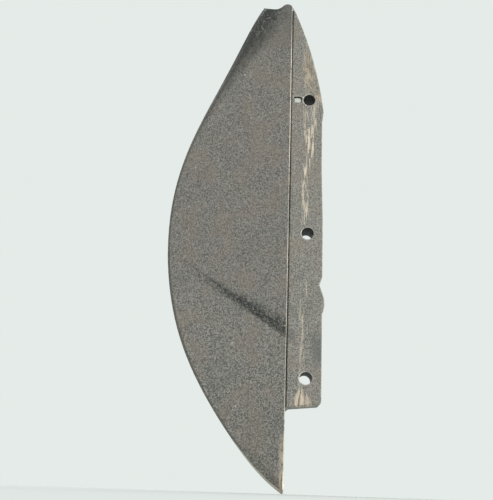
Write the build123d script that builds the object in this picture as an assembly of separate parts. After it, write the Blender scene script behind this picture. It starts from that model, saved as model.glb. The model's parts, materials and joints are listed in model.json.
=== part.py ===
from build123d import *
import os

# Seed drill share: two cheek plates welded into a hollow boat-bow wedge around a drilled mounting bar.
# X runs from the cutting keel to the rear edge, Y across the share and Z up.
# The origin is the centre of the middle bolt bore. The left side is at minus Y.

# Mounting bar
bolt_pitch = 120.0          # between neighbouring bores
bore_diameter = 10.0
bore_chamfer = 0.7
bar_thickness = 25.0
rear_margin = 12.5          # bore centre to the rear edge
foot_margin = 20.4          # lowest bore to the rear end of the bar's foot
foot_drop = 2.6             # the foot falls this much towards the share
foot_radius = 2.8
bar_edge = 0.8              # chamfer along the outline of the bar
shoulder_drop = 11.0        # the rear edge starts to curve this far below the top bore
crown_rise = 90.4           # top bore to the peak of the crown
crown_rear = -12.8          # where the curved rear edge ends
crown_bevel = 6.4           # from the peak down to that end
crown_slope = 1.9           # the bar's bevelled top rises this much per millimetre
rear_bulge = 3.4            # how far the curved edge stands out from its chord
waist_depth = 1.2           # the rear edge is this much slimmer below its shoulder
waist_low = 12.0            # the slimmer stretch fades out at this height
waist_run = 10.0            # and reaches its depth this far below the shoulder

# Nib slot beside the top bore
slot_length = 6.9
slot_height = 5.6
slot_depth = 1.5
slot_neck = 1.5             # steel between slot and bore, cut through by the neck
neck_height = 2.4
slot_radius = 1.4

# Nick and swelling on the rear edge
nick_depth = 2.4
nick_centre = -43.4
nick_half = 6.6
swell_height = 1.7
swell_length = 18.0

# Share body
lap_line = 16.0             # bore centre to the rear edge of the cheeks
lap_width = 12.0            # bar tongue held between the cheeks
lap_gap = 0.6               # open groove between cheek edge and bar
share_depth = 100.3         # rear edge of the cheeks to the belly of the keel
belly_height = 4.0
tip_drop = 209.6            # origin down to the tip
crown_width = 25.0          # rear edge of the cheeks to the nose at the crown
cheek_plate = 6.5
cheek_proud = 3.2           # cheeks stand this far outside the bar
cheek_edge = 0.8            # chamfer along the rear edge of the cheeks
relief_depth = 2.8          # the lower cheeks are forged back by this much
relief_rear = -81.0         # the step meets the rear edge of the cheeks here
relief_front = -20.0        # and fades out at this height near the keel
relief_run = 7.0            # length of the sloping step at its rear end
step_round = 3.0            # the upper edge of the step is rolled over
keel_half = 2.0             # half the width of the keel at the belly
tip_half = 3.8              # half the width of the tip
tip_grind = 0.9             # its front is ground narrower by this much
nose_base = 1.5             # length of the bull nose where the keel is sharp
nose_growth = 0.105         # the nose grows with the square of the half width
nose_flare = 0.10           # the nose meets the flat sides at this slope
nose_pitch = 1.2            # slope at the keel against the mean slope of the nose
nose_land = 0.7             # half the width of the blunt front of the nose
ground_edge = 0.7           # half the width of the land on the ground lower keel
keel_flank = 0.3            # the lower flat sides start this far outside the keel's half width
keel_wall = 10.0            # steel in front of the hollow
wedge_front = 1.0           # half the width of the hollow at its front

# Keel in side view, above the belly: behind the nose of the crown and above the crown's peak
upper_keel = [(5.4, 12.4), (-18.2, -32.8), (-45.9, -95.6)]
# Keel in side view, belly and below: behind the front of the belly and above the tip
lower_keel = [(8.8, 271.6), (0, 213.6), (5.1, 152.1), (29.3, 86.9), (44.9, 61.9), (65.8, 32.1), (83.2, 13.2)]

# Hollowed crown in side view: ahead of the rear edge of the cheeks and above the peak
crown_shoulder = (0.8, -1.8)
crown_top = (4.4, 0.0)
crown_saddle = (8.2, -1.5)
crown_dip = (15.5, -4.4)
nose_setback = 0.7          # the nose's corner stands this far behind the crown's front
nose_rise = 3.4             # and this far above the peak
nose_slope = 4 / 30         # past the corner the top falls at this slope

# Pieces inside and welds
point_core = 9.2            # half the width of the point's tang at its top
point_edge = 1.0            # half the width of the tang at the front of its top
tip_core = 1.8              # half the width of the tang's flat sides at the tip
rib_thickness = 6.0
rib_offset = 10.0           # upper rib above the top bore
middle_rib_height = 20.0
lower_rib_offset = 30.0     # lower rib above the lowest bore
rib_weld_leg = 4.0
cap_thickness = 8.0
plug_diameter = 8.0
plug_count = 5
plug_end_margin = 26.0
seam_depth = 4.0
seam_half = 2.4
heel_leg = 4.0
heel_half = 11.0
point_weld_width = 3.2
rear_weld_width = 3.6
front_weld_start = 28.0     # height above the tip where the lower front run starts
rear_weld_start = 43.0      # height above the tip where the rear run starts

# Worked out from the sizes above
bar_half = bar_thickness / 2
top_bore = bolt_pitch
foot_rear = -bolt_pitch - foot_margin
foot_front = foot_rear - foot_drop
crown_peak = top_bore + crown_rise
upper_half = bar_half + cheek_proud
lower_half = upper_half - relief_depth
belly_front = -lap_line - share_depth
spread = (upper_half - keel_half) / share_depth
tongue_front = -lap_line - lap_width
wedge_rear = upper_half - cheek_plate
reach = 2 * crown_peak      # longer than any piece, for cutting tools
beyond = 4.0                # how far cutting tools and lofts run past the finished face
rib_heights = {
    "upper_rib": top_bore + rib_offset,
    "middle_rib": middle_rib_height,
    "lower_rib": -bolt_pitch + lower_rib_offset,
}


def side_profile(*edges):
    """Face in the centre plane from edges drawn with X and Z."""
    return Plane.XZ * make_face(Curve() + list(edges))


def across(profile, half):
    """Solid of a side profile, as far to the left as to the right."""
    return extrude(profile, half, both=True)


def keel_line():
    """The cutting edge in side view, from above the crown to the tip."""
    nose = -lap_line - crown_width
    upper = [(nose + along, crown_peak + up) for along, up in upper_keel]
    lower = [(belly_front + along, up - tip_drop) for along, up in lower_keel]
    return Spline(*upper, *lower, (-lap_line - 0.6, -tip_drop))


def keel_front(height):
    """Where the keel line stands at one height."""
    level = Line((-reach, height), (reach, height))
    return keel_line().intersect(level).vertices()[0].X


def crescent():
    """Side profile of the share, between the keel line and the rear edge of the cheeks."""
    keel = keel_line()
    return side_profile(
        keel,
        Line(keel @ 1, (-lap_line, (keel @ 1).Y)),
        Line((-lap_line, (keel @ 1).Y), (-lap_line, (keel @ 0).Y)),
        Line((-lap_line, (keel @ 0).Y), keel @ 0),
    )


def nose_length(nose_half, depth):
    """Length of the rounded or ground front of a level section."""
    return min(nose_base + nose_growth * nose_half**2, 0.6 * depth)


def blunt_section(height):
    """Level section with a bull nose for the front of the upper wedge, clear of its flat sides."""
    front = keel_front(height)
    depth = -lap_line - front
    start = front + nose_length(upper_half - spread * depth, depth)
    nose_half = upper_half - spread * (-lap_line - start)
    flare = spread + nose_flare
    wide = nose_half + flare * (beyond - lap_line - start)
    rear = -lap_line + beyond
    steep = nose_pitch * (nose_half - nose_land) / (start - front)
    sides = Polyline((start, -nose_half), (rear, -wide), (rear, wide), (start, nose_half))
    right = Spline((start, nose_half), (front, nose_land), tangents=[(-1, -flare), (-1, -steep)])
    land = Line((front, nose_land), (front, -nose_land))
    left = Spline((front, -nose_land), (start, -nose_half), tangents=[(1, -steep), (1, -flare)])
    return Plane.XY.offset(height) * make_face(Curve() + [sides, right, land, left])


def upper_envelope():
    """Wedge with flat sides, whose front is rounded off more and more towards the crown."""
    top = crown_peak + 9.0
    bottom = relief_rear - 2 * relief_run
    stations = [top, top - 40, top - 90, top - 150, 20, -40, bottom]
    blunt = loft([blunt_section(height) for height in stations])
    fore = belly_front - beyond
    fore_half = upper_half - spread * (-lap_line - fore)
    plan = Polyline(
        (fore, -fore_half), (-lap_line, -upper_half), (-lap_line, upper_half), (fore, fore_half), close=True
    )
    return extrude(Plane.XY.offset(bottom) * make_face(plan), top - bottom) & blunt


def lower_taper(height):
    """Half width of the lower share at its rear edge: even beside the bar, then down to the tip."""
    below = (foot_front - height) / (tip_drop + foot_front)
    return lower_half - (lower_half - tip_half) * max(below, 0) ** 1.15


def keel_taper(height):
    """Half width of the lower keel, from the fine belly to the blunter point."""
    below = (belly_height - height) / (tip_drop + belly_height)
    belly_half = keel_half + keel_flank
    return belly_half + (tip_half - tip_grind - belly_half) * max(below, 0)


def ground_section(height):
    """Level section of the lower share: straight sides that meet in a ground edge."""
    front = keel_front(height)
    rear_half = lower_taper(height)
    nose_half = keel_taper(height)
    start = front + nose_length(nose_half, -lap_line - front)
    slope = (rear_half - nose_half) / (-lap_line - start)
    rear = -lap_line + beyond
    wide = rear_half + slope * beyond
    edge = min(ground_edge, nose_half / 2)
    outline = Polyline(
        (front, -edge), (start, -nose_half), (rear, -wide), (rear, wide), (start, nose_half), (front, edge),
        close=True,
    )
    return Plane.XY.offset(height) * make_face(outline)


def lower_envelope():
    """Slimmer wedge below the step, tapering to the tip."""
    bottom = -tip_drop + 0.4
    stations = [30, -20, -70, foot_front + 20, foot_front - 22, bottom + 18, bottom]
    return loft([ground_section(height) for height in stations])


def step_plane():
    """Sloping plane of the step between the proud upper cheek and the lower one, left side."""
    front = belly_front + 9.0
    front_half = upper_half - spread * (-lap_line - front)
    high = Vector(-lap_line, -upper_half, relief_rear)
    low = Vector(-lap_line, -upper_half + relief_depth, relief_rear - relief_run)
    fore = Vector(front, -front_half, relief_front)
    normal = (fore - high).cross(low - high)
    if normal.Z < 0:
        normal = -normal
    return Plane(origin=high, x_dir=(fore - high), z_dir=normal)


def above_crown():
    """Everything above the hollowed top edge of the share."""
    places = [crown_shoulder, crown_top, crown_saddle, crown_dip, (crown_width - nose_setback, nose_rise)]
    shoulder, peak, saddle, dip, nose = [(-lap_line - ahead, crown_peak + up) for ahead, up in places]
    behind = (crown_rear, crown_peak - crown_bevel)
    start = (0, behind[1])
    front = (nose[0] - crown_width, nose[1] - nose_slope * crown_width)
    roof = crown_peak + crown_width
    outline = [
        Line(start, behind),
        Line(behind, shoulder),
        ThreePointArc(shoulder, peak, saddle),
        ThreePointArc(saddle, dip, nose),
        Line(nose, front),
        Polyline(front, (front[0], roof), (0, roof), start),
    ]
    return across(side_profile(*outline), 2 * upper_half)


def left_shape():
    """Outer shape of the left half of the share, in one piece."""
    plane = step_plane()
    upper = split(upper_envelope(), plane, keep=Keep.TOP)
    lower = split(lower_envelope(), plane, keep=Keep.BOTTOM)
    shape = split(upper, Plane.XZ, keep=Keep.TOP) + split(lower, Plane.XZ, keep=Keep.TOP)
    step_edges = [
        edge for edge in shape.edges().filter_by(GeomType.LINE)
        if abs(plane.to_local_coords(edge.center()).Z) < 0.01
    ]
    shape = fillet(max(step_edges, key=lambda edge: edge.length), step_round)
    shape = split(shape, Plane.YZ.offset(-lap_line), keep=Keep.BOTTOM) - above_crown()
    rear_face = shape.faces().sort_by(Axis.X)[-1]
    outer = [
        edge for edge in rear_face.edges()
        if edge.center().Y < -tip_half and abs(edge.tangent_at(0.5).Z) > abs(edge.tangent_at(0.5).Y)
    ]
    return chamfer(outer, cheek_edge)


def inner_wedge():
    """Level-sided wedge between the two cheeks: the bar's tongue at the rear, then the hollow."""
    slope_front = -lap_line - (wedge_rear - wedge_front) / spread
    rear = -lap_line + lap_gap
    rear_half = wedge_rear + spread * lap_gap
    plan = Polyline(
        (slope_front, -wedge_front), (rear, -rear_half), (rear, rear_half), (slope_front, wedge_front),
        close=True,
    )
    prism = extrude(Plane.XY.offset(foot_front) * make_face(plan), crown_peak - foot_front + beyond)
    behind_keel = Pos(keel_wall, 0, 0) * crescent()
    room = across(behind_keel, upper_half)
    return (prism & room) - above_crown()


def ahead_of_keel(back, up, half, low, high):
    """Room in front of the keel line once that is moved back and up, between two heights."""
    behind = across(Pos(back, 0, up) * crescent(), reach)
    middle = Pos(-lap_line - reach / 2, 0, (low + high) / 2)
    return middle * Box(reach, 2 * half, high - low) - behind


def bar_outline():
    """Side outline of the bar behind the cheeks, with its curved top, nick and swelling."""
    front = -lap_line + lap_gap
    shoulder = top_bore - shoulder_drop
    rear = rear_margin
    crown_low = crown_peak - crown_bevel
    middle_x = (rear + crown_rear) / 2
    middle_z = (shoulder + crown_low) / 2
    chord = Vector(rear - crown_rear, shoulder - crown_low)
    away = Vector(-chord.Y, chord.X).normalized() * rear_bulge
    swell_top = nick_centre - nick_half
    swell_end = swell_top - swell_length
    swell_peak = (rear + swell_height, swell_top - 0.35 * swell_length)
    foot = (rear, foot_rear)
    front_top = crown_low + crown_slope * (crown_rear - front)
    waist = rear - waist_depth
    waist_top = shoulder - waist_run
    waist_middle = (waist_low + waist_top) / 2
    outline = [
        Line((front, foot_front), foot),
        Line(foot, (rear, swell_end)),
        ThreePointArc((rear, swell_end), swell_peak, (rear, swell_top)),
        Line((rear, swell_top), (rear - nick_depth, nick_centre)),
        Line((rear - nick_depth, nick_centre), (rear, nick_centre + nick_half)),
        Line((rear, nick_centre + nick_half), (rear, waist_low)),
        Line((rear, waist_low), (waist, waist_middle)),
        Line((waist, waist_middle), (waist, waist_top)),
        Line((waist, waist_top), (rear, shoulder)),
        ThreePointArc((rear, shoulder), (middle_x + away.X, middle_z + away.Y), (crown_rear, crown_low)),
        Line((crown_rear, crown_low), (front, front_top)),
        Line((front, front_top), (front, foot_front)),
    ]
    return side_profile(*outline)


def mounting_bar():
    """Thick flat bar with three cross bores, a nib slot and a wedge-shaped tongue."""
    bar = across(bar_outline(), bar_half)
    corner = bar.edges().filter_by(Axis.Y).sort_by_distance((rear_margin, 0, foot_rear))[0]
    bar = fillet(corner, foot_radius)
    faces = bar.faces().filter_by(Axis.Y)
    bar = chamfer(faces.edges(), bar_edge)
    bar += inner_wedge() & (Pos(tongue_front + reach / 2, 0, 0) * Box(reach, reach, 2 * reach))
    bore = Rot(90, 0, 0) * Cylinder(bore_diameter / 2, 2 * bar_thickness)
    mouth = Rot(90, 0, 0) * Cone(
        bore_diameter / 2, bore_diameter / 2 + 2 * bore_chamfer, 2 * bore_chamfer
    )
    for height in (-bolt_pitch, 0, top_bore):
        bar -= Pos(0, 0, height) * bore
        bar -= Pos(0, -bar_half, height) * mouth
        bar -= Pos(0, bar_half, height) * mirror(mouth, Plane.XZ)
    return bar - nib_slot()


def nib_slot():
    """Blind slot in the left face, which keeps the nib of a bolt head from turning."""
    near = -bore_diameter / 2 - slot_neck
    pocket = Pos(near - slot_length / 2, 0) * RectangleRounded(slot_length, slot_height, slot_radius)
    neck = Pos(near + slot_neck / 2, 0) * Rectangle(2 * slot_neck, neck_height)
    face = Plane.XZ.offset(bar_half) * (pocket + neck)
    return Pos(0, 0, top_bore) * extrude(face, -slot_depth)


def share_point(envelope):
    """Hardened solid point: a flat-sided tang that fills the wedge below the bar and ends as the tip."""
    level = -tip_drop - beyond
    top = (-lap_line, -point_core, foot_front)
    tip = (-lap_line, -tip_core, -tip_drop)
    fore = (keel_front(foot_front), -point_edge, foot_front)
    normal = (Vector(tip) - Vector(top)).cross(Vector(fore) - Vector(top))
    side = Plane(origin=top, x_dir=Vector(fore) - Vector(top), z_dir=normal)
    inner = Keep.TOP if side.to_local_coords(Vector(-lap_line, 0, foot_front)).Z > 0 else Keep.BOTTOM
    block = Pos(-reach / 2, 0, (level + foot_front) / 2) * Box(reach, 2 * upper_half, foot_front - level)
    half = split(split(block, Plane.XZ, keep=Keep.TOP), side, keep=inner)
    return (half & envelope) + mirror(half & envelope, Plane.XZ)


def rib(height, hollow):
    """Level web across the hollow, welded to the front of the bar."""
    return hollow & (Pos(0, 0, height) * Box(reach, reach, rib_thickness))


def rib_welds(hollow):
    """Fillet beads under the ribs, along the front face of the bar."""
    beads = []
    for height in rib_heights.values():
        under = height - rib_thickness / 2
        corner = (tongue_front, under)
        along = (tongue_front - rib_weld_leg, under)
        down = (tongue_front, under - rib_weld_leg)
        bead = side_profile(Polyline(corner, along, down, close=True))
        beads.append(across(bead, upper_half) & hollow)
    return Compound(children=beads)


def heel_weld():
    """Hollow fillet bead in the corner between the bar's foot and the back of the share."""
    slope = foot_drop / (rear_margin + lap_line - lap_gap)
    face = -lap_line
    run = (face + lap_gap + heel_leg, foot_front + slope * heel_leg)
    start = (face + lap_gap, foot_front)
    drop = (face, foot_front - heel_leg)
    middle = (face + 0.3 * heel_leg + lap_gap / 2, foot_front - 0.3 * heel_leg)
    bead = side_profile(
        Line((face, foot_front), start),
        Line(start, run),
        ThreePointArc(run, middle, drop),
        Line(drop, (face, foot_front)),
    )
    return across(bead, heel_half)


def plug_tools():
    """Round tools through the lap of the left cheek, evenly spaced down the tongue."""
    low = foot_front + plug_end_margin
    high = crown_peak - plug_end_margin
    step = (high - low) / (plug_count - 1)
    length = 2 * upper_half
    tool = Rot(90, 0, 0) * Cylinder(plug_diameter / 2, length)
    x = -lap_line - lap_width / 2
    return [Pos(x, -length / 2, low + number * step) * tool for number in range(plug_count)]


def group(pieces):
    """Separate solids of the same kind in one node."""
    return Compound(children=list(pieces))


def build():
    """Every piece of the share by name."""
    wedge = inner_wedge()
    left = left_shape()
    envelope = left + mirror(left, Plane.XZ)
    hollow = wedge & (Pos(tongue_front - reach / 2, 0, 0) * Box(reach, reach, 2 * reach))
    point = share_point(left)
    seam_tool = ahead_of_keel(seam_depth, 0, seam_half, foot_front, crown_peak + beyond)
    seam = envelope & seam_tool
    cheek = left - wedge - point - seam_tool

    inward = 0.7 * point_weld_width
    front_run = ahead_of_keel(inward, inward, upper_half, -tip_drop - beyond, -tip_drop + front_weld_start)
    rear_run = Pos(-lap_line - rear_weld_width / 2, 0, -tip_drop + rear_weld_start / 2) * Box(
        rear_weld_width, reach, rear_weld_start)
    around_point = front_run + rear_run
    point_weld = cheek & around_point
    cheek -= around_point

    plugs = [cheek & tool for tool in plug_tools()]
    for tool in plug_tools():
        cheek -= tool

    cap_level = crown_peak - cap_thickness
    cap = hollow & (Pos(0, 0, cap_level + reach / 2) * Box(reach, reach, reach))
    nodes = {
        "mounting_bar": mounting_bar(),
        "left_cheek": cheek,
        "right_cheek": mirror(cheek, Plane.XZ),
        "keel_seam_weld": seam,
        "share_point": point,
        "left_point_weld": point_weld,
        "right_point_weld": mirror(point_weld, Plane.XZ),
        "left_plug_welds": group(plugs),
        "right_plug_welds": group(mirror(plug, Plane.XZ) for plug in plugs),
        "crown_cap": cap,
        "heel_weld": heel_weld(),
        "rib_welds": rib_welds(hollow),
    }
    for name, height in rib_heights.items():
        nodes[name] = rib(height, hollow)
    return nodes


os.makedirs("parts", exist_ok=True)
for name, shape in build().items():
    export_step(shape, f"parts/{name}.step")
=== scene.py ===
import json
import math

import bmesh
import bpy
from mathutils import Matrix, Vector


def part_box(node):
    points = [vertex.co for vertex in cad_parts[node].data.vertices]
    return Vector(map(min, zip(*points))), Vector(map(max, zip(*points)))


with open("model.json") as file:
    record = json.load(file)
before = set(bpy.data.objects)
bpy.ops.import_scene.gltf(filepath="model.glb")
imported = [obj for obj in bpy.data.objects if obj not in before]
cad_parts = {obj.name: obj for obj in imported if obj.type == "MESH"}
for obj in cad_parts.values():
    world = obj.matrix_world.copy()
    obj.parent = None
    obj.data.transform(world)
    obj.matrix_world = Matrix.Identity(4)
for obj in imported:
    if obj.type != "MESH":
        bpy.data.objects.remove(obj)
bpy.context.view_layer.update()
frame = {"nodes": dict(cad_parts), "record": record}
nodes = frame["nodes"]
mm = 0.001
print("share loaded, nodes:", len(nodes))

# places on the share in millimetres: x to the rear edge, z up, the left side at minus y
barLow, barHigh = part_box("mounting_bar")
cheekLow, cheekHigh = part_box("left_cheek")
pointLow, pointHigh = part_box("share_point")
place = {
    "tip": pointLow.z / mm,
    "lapLine": cheekHigh.x / mm,
    "barFoot": barLow.z / mm,
    "barFace": barLow.y / mm,
    "boreRadius": 5.0,
    "bores": [entry["pos_m"][2] / mm for entry in frame["record"]["mounts"] if entry["kind"] == "bore"],
    "keel": [  # height, then how far forward the keel lies
        (-209.6, -16.0), (-207, -20.5), (-203, -25.8), (-198, -31.6), (-192, -37.7), (-185, -44.0), (-175, -52.2),
        (-165, -59.8), (-155, -66.9), (-140, -76.8), (-125, -85.7), (-110, -93.5), (-90, -101.9), (-70, -108.2),
        (-50, -112.6), (-30, -115.2), (-10, -116.3), (10, -116.0), (30, -114.1), (50, -110.5), (70, -105.0),
        (90, -97.9), (110, -89.4), (130, -80.3), (150, -71.2), (165, -64.6), (180, -58.1), (200, -48.9)],
}
print("tip at", round(place["tip"], 1), "bores at", [round(height) for height in place["bores"]])


def rgb(red, green, blue):  # a colour as seen on screen, 0 to 255
    def linear(part):
        part = part / 255
        return part / 12.92 if part <= 0.04045 else ((part + 0.055) / 1.055) ** 2.4
    return (linear(red), linear(green), linear(blue), 1.0)


class Wire:  # one node output that works in sums
    def __init__(self, paint, socket):
        self.paint = paint
        self.socket = socket

    def __add__(self, other):
        return self.paint.sum("ADD", self, other)

    def __radd__(self, other):
        return self.paint.sum("ADD", other, self)

    def __sub__(self, other):
        return self.paint.sum("SUBTRACT", self, other)

    def __rsub__(self, other):
        return self.paint.sum("SUBTRACT", other, self)

    def __mul__(self, other):
        return self.paint.sum("MULTIPLY", self, other)

    def __rmul__(self, other):
        return self.paint.sum("MULTIPLY", other, self)

    def __truediv__(self, other):
        return self.paint.sum("DIVIDE", self, other)

    def __rtruediv__(self, other):
        return self.paint.sum("DIVIDE", other, self)

    def __pow__(self, other):
        return self.paint.sum("POWER", self, other)

    def __abs__(self):
        return self.paint.sum("ABSOLUTE", self, 0.0)


class Paint:  # the nodes of one material, or of the world
    def __init__(self, owner):
        owner.use_nodes = True
        self.owner = owner
        self.tree = owner.node_tree
        self.tree.nodes.clear()

    def node(self, kind, settings=None, inputs=None, output=0):
        made = self.tree.nodes.new(kind)
        for name, value in (settings or {}).items():
            if name == "stops":
                ramp = made.color_ramp.elements
                ramp[0].position, ramp[0].color = value[0]
                ramp[1].position, ramp[1].color = value[-1]
                for where, colour in value[1:-1]:
                    ramp.new(where).color = colour
            else:
                setattr(made, name, value)
        for name, value in (inputs or {}).items():
            if isinstance(value, Wire):
                self.tree.links.new(value.socket, made.inputs[name])
            else:
                made.inputs[name].default_value = value
        return Wire(self, made.outputs[output]) if made.outputs else made

    def measure(self):  # where a point lies on the share, in millimetres
        here = self.node("ShaderNodeTexCoord", output="Object")
        self.spot = self.node("ShaderNodeVectorMath", {"operation": "MULTIPLY"}, {0: here, 1: (1 / mm,) * 3})
        self.x, self.y, self.z = [
            self.node("ShaderNodeSeparateXYZ", {}, {0: self.spot}, output=axis) for axis in range(3)]

    def sum(self, operation, first, second):
        return self.node("ShaderNodeMath", {"operation": operation}, {0: first, 1: second})

    def ease(self, value, start, end):  # 0 before start, 1 after end, also backwards
        return self.node(
            "ShaderNodeMapRange", {"interpolation_type": "SMOOTHSTEP"}, {"Value": value, "From Min": start, "From Max": end})

    def within(self, value, low, high, soft):
        return self.ease(value, low - soft, low + soft) * self.ease(value, high + soft, high - soft)

    def along(self, value, points):  # follows a list of places, each with its number
        start, end = points[0][0], points[-1][0]
        least, most = min(number for where, number in points), max(number for where, number in points)
        stops = [((where - start) / (end - start), ((number - least) / (most - least),) * 3 + (1.0,)) for where, number in points]
        ramp = self.node("ShaderNodeValToRGB", {"stops": stops}, {0: (value - start) / (end - start)})
        return least + (most - least) * ramp

    def noise(self, size, detail=2.0, rough=0.5, stretch=(1, 1, 1), shift=0.0, bend=0.0):
        where = self.node(
            "ShaderNodeMapping", {}, {"Vector": self.spot, "Location": (shift, shift, shift), "Scale": stretch})
        return self.node("ShaderNodeTexNoise", {}, {
            "Vector": where, "Scale": 1 / size, "Detail": detail, "Roughness": rough, "Distortion": bend})

    def blend(self, factor, first, second):
        return self.node("ShaderNodeMix", {"data_type": "RGBA"}, {0: factor, 6: first, 7: second}, output=2)

    def finish(self, colour, rough, metal, height, depth):
        bump = self.node("ShaderNodeBump", {}, {"Height": height, "Distance": depth * mm, "Strength": 1.0})
        shader = self.node("ShaderNodeBsdfPrincipled", {}, {
            "Base Color": colour, "Roughness": rough, "Metallic": metal, "Normal": bump, "Specular IOR Level": 0.4})
        self.node("ShaderNodeOutputMaterial", {}, {"Surface": shader})
        return self.owner


def newSteel(name):
    paint = Paint(bpy.data.materials.new(name))
    paint.measure()
    return paint


# shot-blasted steel, laid in the share's own places so that it runs on from piece to piece
blast = {
    "dark": rgb(85, 83, 79),
    "light": rgb(134, 131, 125),
    "coarseDark": rgb(80, 79, 75),  # where the grain is harsher
    "coarseLight": rgb(142, 140, 133),
    "brown": rgb(124, 114, 102),
    "green": rgb(98, 104, 95),
    "speck": rgb(196, 195, 187),
    "pit": rgb(52, 52, 50),
    "grain": 1.15,
    "cloud": 24.0,
    "depth": 0.16,
}


def blastedGrain(paint, harsh):
    fine = paint.noise(blast["grain"], 1.0)
    coarse = paint.noise(1.9 * blast["grain"], 1.0, shift=31.0)
    cloud = paint.noise(blast["cloud"], 3.0, 0.55, shift=7.0)
    spread = paint.ease(0.8 * fine + 0.2 * coarse, 0.34, 0.66)
    dark = paint.blend(harsh, blast["dark"], blast["coarseDark"])
    light = paint.blend(harsh, blast["light"], blast["coarseLight"])
    colour = paint.blend(spread, dark, light)
    colour = paint.blend(0.34 * paint.ease(cloud, 0.46, 0.64), colour, blast["brown"])
    colour = paint.blend(0.22 * paint.ease(cloud, 0.48, 0.34), colour, blast["green"])
    specks = paint.ease(paint.noise(1.5, 1.0, shift=77.0), 0.70, 0.82)
    pits = paint.ease(paint.noise(2.1, 1.0, shift=51.0), 0.26, 0.18)
    colour = paint.blend(0.5 * specks, colour, blast["speck"])
    colour = paint.blend(0.5 * pits, colour, blast["pit"])
    height = fine + 0.6 * coarse - 0.8 * pits
    rough = 0.64 + 0.16 * (fine - 0.5) - 0.12 * specks
    metal = 0.18 + 0.3 * specks
    return colour, rough, metal, height


cheeks = {
    "harshFrom": -30.0,
    "harshTo": -130.0,
    "noseShadeDark": rgb(20, 22, 21),  # painted shade where the rounded nose of the crown turns from the light, laid with a scale-like grain
    "noseShadeLight": rgb(68, 69, 65),
    "wrinkle": rgb(132, 130, 122),
    "crownShade": rgb(78, 80, 76),
    "noseShadeWidth": [(85, 4.0), (110, 7.0), (139, 12.0), (157, 16.0), (171, 20.0), (196, 23.0)],
    "noseShadeStrength": [(85, 0.0), (110, 0.34), (139, 0.46), (157, 0.66), (171, 0.84), (185, 0.96), (196, 1.0)],
    "edge": rgb(200, 193, 178),  # painted highlight along the rear edge where it stands proud of the bar, with bare worn metal
    "edgeWidth": 0.42,
    "edgeHighlightAndWear": [
        (-209, 0.5), (-140, 0.6), (-122, 0.25), (-97, 0.3), (-84, 0.55), (-70, 0.5), (-57, 0.35), (-44, 0.4),
        (-30, 0.65), (-5, 0.6), (10, 0.2), (35, 0.2), (45, 0.45), (60, 0.8), (160, 0.85), (178, 0.45), (192, 0.1)],
    "stepShade": rgb(50, 54, 53),  # painted shade, a dark wedge over the rolled step, x and z of its ends
    "stepShadeLow": (-96.0, -34.8, -17.9, -84.8),
    "stepShadeHigh": (-96.2, -30.5, -18.2, -70.0),
    "ground": rgb(196, 182, 160),
    "groundWidth": 4.0,
    "bevel": rgb(192, 187, 174),
    "bevelWidth": [(-209.6, 3.2), (-200, 2.2), (-190, 1.7), (-178, 1.2), (-165, 0.0)],
    "tipShade": rgb(70, 70, 66),
    "brightMarks": [(-59.5, -92.5, 0.9), (-62.4, -102.0, 0.7), (-55.2, -143.0, 1.0), (-56.3, 143.0, 0.9), (-96.0, 58.0, 0.8)],
    "darkMarks": [(-53.1, 13.0, 0.8), (-74.0, -12.0, 0.7)],
}


def heightOn(paint, ends):  # z of the straight line through two places, at each x
    fromX, fromZ, toX, toZ = ends
    return fromZ + (toZ - fromZ) / (toX - fromX) * (paint.x - fromX)


def marks(paint, spots):
    total = 0.0
    for x, z, size in spots:
        reach = ((paint.x - x) ** 2 + (paint.z - z) ** 2) ** 0.5
        total = paint.ease(reach, size, 0.3 * size) + total
    return total


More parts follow.
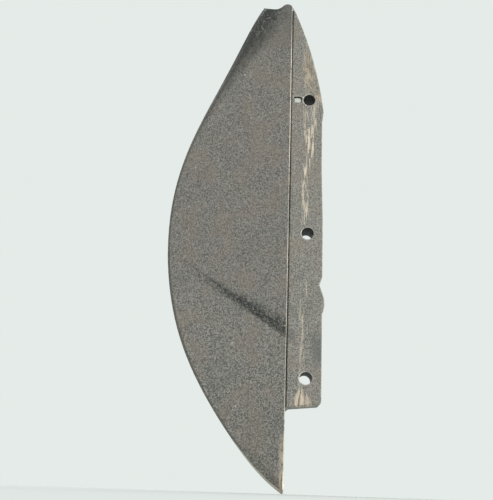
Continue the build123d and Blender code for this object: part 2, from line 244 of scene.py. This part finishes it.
def shareSteel():
    paint = newSteel("blastedShareSteel")
    colour, rough, metal, height = blastedGrain(paint, 0.8 * paint.ease(paint.z, cheeks["harshFrom"], cheeks["harshTo"]))
    ahead = paint.x - paint.along(paint.z, place["keel"])  # behind the keel, along x
    left = paint.ease(paint.y, 0.0, -2.0)

    mottle = paint.noise(5.0, 3.0, 0.6, shift=13.0)
    lumps = paint.noise(2.6, 2.0, 0.6, shift=5.0, bend=0.6)
    colour = paint.blend(0.42 * paint.ease(paint.z + 12 * (mottle - 0.5), 150.0, 196.0), colour, cheeks["crownShade"])
    # painted shade along the rounded nose, wider and stronger towards the crown
    noseShadeZone = paint.ease(ahead / paint.along(paint.z, cheeks["noseShadeWidth"]) + 0.7 * (mottle - 0.5), 1.45, 0.65)
    noseShadeZone = noseShadeZone * paint.along(paint.z, cheeks["noseShadeStrength"])
    gritty = paint.noise(1.3, 1.0, shift=9.0)
    noseShade = paint.blend(paint.ease(0.5 * lumps + 0.5 * gritty, 0.40, 0.62), cheeks["noseShadeDark"], cheeks["noseShadeLight"])
    colour = paint.blend(0.88 * noseShadeZone, colour, noseShade)
    folds = paint.noise(9.0, 1.0, 0.5, shift=29.0, bend=1.4)
    wrinkle = paint.ease(abs(folds - 0.5), 0.034, 0.008) * paint.ease(paint.z, 176.0, 188.0) * noseShadeZone
    colour = paint.blend(0.7 * wrinkle, colour, cheeks["wrinkle"])

    # painted shade over the facet of the rolled step
    low, high = heightOn(paint, cheeks["stepShadeLow"]), heightOn(paint, cheeks["stepShadeHigh"])
    up = (paint.z - low) / (high - low)
    stepShade = paint.ease(up + 0.5 * (lumps - 0.5), -0.25, 0.06) * paint.ease(up + 0.7 * (lumps - 0.5), 1.30, 0.45)
    stepShade = stepShade * paint.ease(paint.x, -108.0, -55.0) * paint.ease(0.35 * lumps + 0.65 * gritty, 0.60, 0.46)
    colour = paint.blend(0.95 * stepShade, colour, cheeks["stepShade"])

    edgeLine = place["lapLine"] - cheeks["edgeWidth"]
    worn = paint.ease(paint.noise(5.0, 2.0, 0.6, shift=3.0), 0.25, 0.5)
    # painted highlight along the cheek's rear edge, broken into patches of bare worn metal
    edge = paint.ease(paint.x, edgeLine - 0.2, edgeLine + 0.1) * paint.along(paint.z, cheeks["edgeHighlightAndWear"]) * worn
    colour = paint.blend(edge, colour, cheeks["edge"])

    shade = paint.ease(ahead, 16.0, 5.0) * paint.within(paint.z, -206.0, -176.0, 9.0) * paint.ease(lumps, 0.62, 0.42)
    colour = paint.blend(0.5 * shade, colour, cheeks["tipShade"])
    scratch = paint.noise(0.8, 2.0, 0.6, stretch=(1.0, 1.0, 0.09), shift=23.0)
    inward = place["lapLine"] - paint.x + 3.5 * (scratch - 0.5)
    ground = paint.ease(inward, cheeks["groundWidth"] + 0.6, cheeks["groundWidth"] - 1.4) * paint.ease(
        paint.z, place["tip"] + 48.0, place["tip"] + 36.0)
    colour = paint.blend(0.75 * ground * paint.ease(scratch, 0.34, 0.56), colour, cheeks["ground"])
    ragged = paint.noise(2.4, 2.0, 0.5, shift=19.0)
    width = paint.along(paint.z, cheeks["bevelWidth"])
    bevel = paint.ease(ahead + 1.6 * (ragged - 0.5), width + 0.5, width - 0.4) * paint.ease(width, 0.1, 1.0)
    colour = paint.blend(0.8 * bevel, colour, cheeks["bevel"])

    colour = paint.blend(0.75 * left * marks(paint, cheeks["brightMarks"]), colour, blast["speck"])
    colour = paint.blend(0.75 * left * marks(paint, cheeks["darkMarks"]), colour, blast["pit"])
    bright = paint.node("ShaderNodeClamp", {}, {0: edge + bevel + ground})
    height = height * (1 - 0.6 * bright) + 1.6 * lumps * noseShadeZone
    return paint.finish(colour, rough - 0.2 * bright, metal * (1 - 0.5 * noseShadeZone) + 0.3 * bright, height, blast["depth"])


bar = {
    "tint": rgb(130, 125, 114),
    "streak": rgb(206, 193, 172),
    "path": [  # height, then x of the rubbed line down the left face
        (-121, -3.8), (-94, -3.7), (-74, -4.4), (-57, -4.3), (-53, -0.6), (-41, -1.4), (-30, -4.2), (-6, -4.6), (6, -3.4),
        (20, -2.5), (51, -2.6), (74, 1.4), (97, 1.5), (115, 1.6)],
    "width": [
        (-121, 2.4), (-74, 2.6), (-57, 2.6), (-52, 1.2), (-41, 1.2), (-30, 0.9), (-6, 1.2), (6, 2.2), (20, 2.6),
        (51, 2.8), (66, 3.0), (78, 4.0), (97, 6.4), (115, 6.6)],
    "wear": [
        (-121, 0.35), (-74, 0.40), (-57, 0.25), (-50, 0.55), (-41, 0.45), (-30, 0.40), (-8, 0.30), (-6, 0.0), (6, 0.0),
        (8, 0.65), (40, 0.75), (56, 0.95), (80, 1.0), (97, 0.62), (112, 0.55), (124, 0.2)],
    "rust": rgb(122, 108, 91),
    "rustLight": rgb(172, 158, 138),
    "rustFoot": [(-7.5, 144.0), (-5.4, 139.0), (-0.5, 133.2), (3.9, 127.6), (5.7, 123.9), (10.0, 118.0)],
    "bare": rgb(200, 184, 162),
    "fanTop": -127.0,
    "fanMiddle": -3.0,
    # a darker patch low on the left face, and the painted shade of the step carried over the lap
    "patchAndStepShade": rgb(84, 85, 83),
    # painted shade inside the bores
    "bore": rgb(36, 36, 34),
    # painted shade in the gap right of the lap line
    "groove": rgb(70, 69, 66),
    "grooveWear": [(-140, 0.2), (-110, 0.6), (-60, 0.45), (-40, 0.15), (20, 0.2), (34, 0.6), (88, 0.55), (100, 0.2), (190, 0.1)],
    # painted highlight on the chamfered rims of the bores and the slot
    "rimHighlight": rgb(204, 202, 192),
    "slotMiddle": -9.95,
    "slotHalf": (3.45, 2.8),
    "slotRadius": 1.4,
    # painted light on the slot's floor, coloured like bare metal
    "slotFloorLit": rgb(186, 190, 180),
    "slotShade": rgb(44, 45, 43),
}


def slotDistance(paint):  # outside the slot's outline, less than nothing inside it
    outX = paint.sum("MAXIMUM", abs(paint.x - bar["slotMiddle"]) - (bar["slotHalf"][0] - bar["slotRadius"]), 0.0)
    outZ = paint.sum("MAXIMUM", abs(paint.z - max(place["bores"])) - (bar["slotHalf"][1] - bar["slotRadius"]), 0.0)
    return (outX ** 2 + outZ ** 2) ** 0.5 - bar["slotRadius"]


def barSteel():
    paint = newSteel("blastedBarSteel")
    colour, rough, metal, height = blastedGrain(paint, 1.0)
    left = paint.ease(paint.y, 0.0, -8.0)
    colour = paint.blend(0.06 + 0.10 * paint.ease(paint.z, -80.0, 60.0), colour, bar["tint"])
    scratch = paint.noise(1.7, 2.0, 0.6, stretch=(1.0, 0.2, 0.10), shift=11.0, bend=0.35)
    scuff = paint.noise(2.2, 3.0, 0.65, stretch=(1.0, 0.2, 0.35), shift=43.0)

    offset = abs(paint.x - paint.along(paint.z, bar["path"])) + 2.4 * (scuff - 0.5)
    width = paint.along(paint.z, bar["width"])
    streak = paint.ease(offset, width + 0.9, width - 1.1) * paint.along(paint.z, bar["wear"]) * left
    streak = streak * paint.ease(0.8 * scratch + 0.2 * scuff, 0.47, 0.60)
    colour = paint.blend(streak, colour, bar["streak"])

    overFoot = paint.z - paint.along(paint.x, bar["rustFoot"]) + 3.0 * (scuff - 0.5)
    area = paint.ease(paint.z, 178.0, 150.0) * paint.ease(paint.x, -8.0, -4.5) * left
    rust = area * paint.ease(overFoot, -0.6, 1.2)
    patchy = paint.ease(paint.noise(4.5, 3.0, 0.65, stretch=(1.0, 0.2, 0.7), shift=61.0, bend=0.8), 0.38, 0.58)
    rusty = paint.blend(paint.ease(0.6 * scuff + 0.4 * scratch, 0.45, 0.58), bar["rust"], bar["rustLight"])
    colour = paint.blend(0.75 * rust * patchy, colour, rusty)
    brim = area * paint.within(overFoot, 0.2, 1.3, 0.7)
    colour = paint.blend(0.65 * brim, colour, bar["rustLight"])

    below = bar["fanTop"] - paint.z
    spread = 1.4 + 0.55 * below
    fan = paint.ease(abs(paint.x - bar["fanMiddle"]) + 2.5 * (scuff - 0.5), spread + 0.8, spread - 1.6) * paint.ease(below, -1.0, 3.0) * left
    fan = fan * paint.ease(scratch, 0.44, 0.62)
    colour = paint.blend(0.85 * fan, colour, bar["bare"])

    # a darker patch low on the left face, and the painted shade of the step carried over the lap
    patchAndStepShade = paint.within(paint.x, 5.0, 14.0, 2.5) * paint.within(paint.z, -109.0, -84.0, 8.0)
    past = paint.z - heightOn(paint, cheeks["stepShadeLow"])  # the step's painted shade carries on over the lap
    patchAndStepShade = patchAndStepShade + 0.9 * paint.within(past, -1.0, 7.0, 2.5) * paint.ease(paint.x, -7.5, -11.0)
    colour = paint.blend(0.6 * patchAndStepShade * left, colour, bar["patchAndStepShade"])

    chipped = paint.ease(paint.noise(4.0, 2.0, 0.5, shift=67.0), 0.34, 0.52)
    for boreHeight in place["bores"]:
        reach = (paint.x ** 2 + (paint.z - boreHeight) ** 2) ** 0.5
        # painted highlight around each bore's chamfer
        rimHighlight = paint.within(reach, place["boreRadius"] + 0.15, place["boreRadius"] + 0.75, 0.25) * (0.4 + 0.6 * chipped)
        colour = paint.blend(0.75 * rimHighlight, colour, bar["rimHighlight"])
        # painted shade on the bore walls
        colour = paint.blend(0.9 * paint.ease(reach, place["boreRadius"] + 0.10, place["boreRadius"]), colour, bar["bore"])
    outside = slotDistance(paint)
    # painted highlight around the slot's outline
    rimHighlight = paint.within(outside, 0.25, 0.75, 0.2) * paint.ease(paint.z, max(place["bores"]) - 1.0, max(place["bores"]) + 2.0)
    colour = paint.blend(0.5 * rimHighlight * left, colour, bar["rimHighlight"])
    beyondBore = paint.ease((paint.x ** 2 + (paint.z - max(place["bores"])) ** 2) ** 0.5, 4.9, 5.1)
    colour = paint.blend(0.9 * left * beyondBore * paint.ease(outside, 0.30, 0.05), colour, bar["slotShade"])
    # painted light on the slot's floor, coloured like bare metal
    sunk = paint.ease(paint.y, place["barFace"] + 1.0, place["barFace"] + 1.4)
    colour = paint.blend(sunk * left * beyondBore * paint.ease(outside, -0.45, -0.85), colour, bar["slotFloorLit"])

    # painted shade in the gap right of the lap line
    groove = paint.ease(paint.x, place["lapLine"] + 1.5, place["lapLine"] + 0.8) * paint.along(paint.z, bar["grooveWear"])
    colour = paint.blend(groove, colour, bar["groove"])
    bright = paint.node("ShaderNodeClamp", {}, {0: streak + fan})
    return paint.finish(colour, rough - 0.15 * bright, metal + 0.25 * bright, height * (1 - 0.5 * bright), blast["depth"])


welds = {"metal": rgb(104, 103, 98), "ripple": 1.6, "depth": 0.25}


def weldSteel():
    paint = newSteel("weldSteel")
    colour, rough, metal, height = blastedGrain(paint, 0.0)
    wave = paint.node(
        "ShaderNodeTexWave", {"wave_type": "BANDS", "bands_direction": "Y"},
        {"Vector": paint.spot, "Scale": 0.31 / welds["ripple"], "Distortion": 1.2, "Detail": 1.0})
    colour = paint.blend(0.5, colour, welds["metal"])
    return paint.finish(colour, rough - 0.1, metal + 0.2, height * 0.4 + wave, welds["depth"])


shareFinish = shareSteel()
weldFinish = weldSteel()
finishes = {"mounting_bar": barSteel(), "heel_weld": weldFinish, "rib_welds": weldFinish}
for name, piece in nodes.items():
    piece.data.materials.clear()
    piece.data.materials.append(finishes.get(name, shareFinish))
print("steel finishes on", len(nodes), "nodes")


studio = {
    "pale": rgb(229, 235, 232),
    "floorColour": rgb(216, 222, 219),
    "floorReach": 6.0,
    "fadeStart": 0.9,
    "fadeEnd": 2.4,
    "keyFrom": (0.75, -0.60, 0.28),
    "keyPower": 3.7,
    "keyAngle": 22.0,
    "backFrom": (-0.10, 0.85, 0.50),
    "backPower": 2.5,
    "backAngle": 40.0,
    "ambient": 0.40,
}


def studioFloor():
    mesh = bpy.data.meshes.new("floor")
    shape = bmesh.new()
    bmesh.ops.create_circle(shape, cap_ends=True, segments=96, radius=studio["floorReach"])
    shape.to_mesh(mesh)
    shape.free()
    floor = bpy.data.objects.new("floor", mesh)
    bpy.context.scene.collection.objects.link(floor)
    floor.location.z = (place["tip"] - 0.2) * mm
    paint = Paint(bpy.data.materials.new("paleFloor"))
    paint.measure()
    away = (paint.x ** 2 + paint.y ** 2) ** 0.5 * mm
    near = paint.node("ShaderNodeBsdfDiffuse", {}, {"Color": studio["floorColour"]})
    far = paint.node("ShaderNodeEmission", {}, {"Color": studio["pale"]})  # the floor melts into the backdrop
    surface = paint.node("ShaderNodeMixShader", {}, {
        0: paint.ease(away, studio["fadeStart"], studio["fadeEnd"]), 1: near, 2: far})
    paint.node("ShaderNodeOutputMaterial", {}, {"Surface": surface})
    mesh.materials.append(paint.owner)


def studioWorld():  # soft white light, and a pale backdrop for the camera and for reflections
    paint = Paint(bpy.data.worlds.new("studio"))
    seen = [paint.node("ShaderNodeLightPath", output=ray) for ray in ("Is Camera Ray", "Is Glossy Ray", "Is Transmission Ray")]
    backdrop = paint.sum("MAXIMUM", paint.sum("MAXIMUM", seen[0], seen[1]), seen[2])
    light = paint.node("ShaderNodeBackground", {}, {"Color": (1.0, 1.0, 1.0, 1.0), "Strength": studio["ambient"]})
    pale = paint.node("ShaderNodeBackground", {}, {"Color": studio["pale"], "Strength": 1.0})
    surface = paint.node("ShaderNodeMixShader", {}, {0: backdrop, 1: light, 2: pale})
    paint.node("ShaderNodeOutputWorld", {}, {"Surface": surface})
    bpy.context.scene.world = paint.owner


def sun(name, comesFrom, power, angle):
    lamp = bpy.data.lights.new(name, "SUN")
    lamp.energy = power
    lamp.angle = math.radians(angle)
    holder = bpy.data.objects.new(name, lamp)
    bpy.context.scene.collection.objects.link(holder)
    holder.rotation_euler = Vector(comesFrom).to_track_quat("Z", "Y").to_euler()


studioFloor()
studioWorld()
sun("keyLight", studio["keyFrom"], studio["keyPower"], studio["keyAngle"])
sun("backLight", studio["backFrom"], studio["backPower"], studio["backAngle"])
print("studio ready")

view = {  # low and a little ahead of the share's middle, looking up
    "place": (-0.04374, -0.72485, -0.20860),
    "turn": (105.1444, -1.7392, 0.0491),
    "lens": 64.414,
    "nearest": 0.01,
}
camera = bpy.data.objects.new("camera", bpy.data.cameras.new("camera"))
bpy.context.scene.collection.objects.link(camera)
camera.location = view["place"]
camera.rotation_euler = [math.radians(angle) for angle in view["turn"]]
camera.data.lens = view["lens"]
camera.data.clip_start = view["nearest"]
bpy.context.scene.camera = camera
bpy.context.scene.view_settings.view_transform = "Standard"
print("camera set")
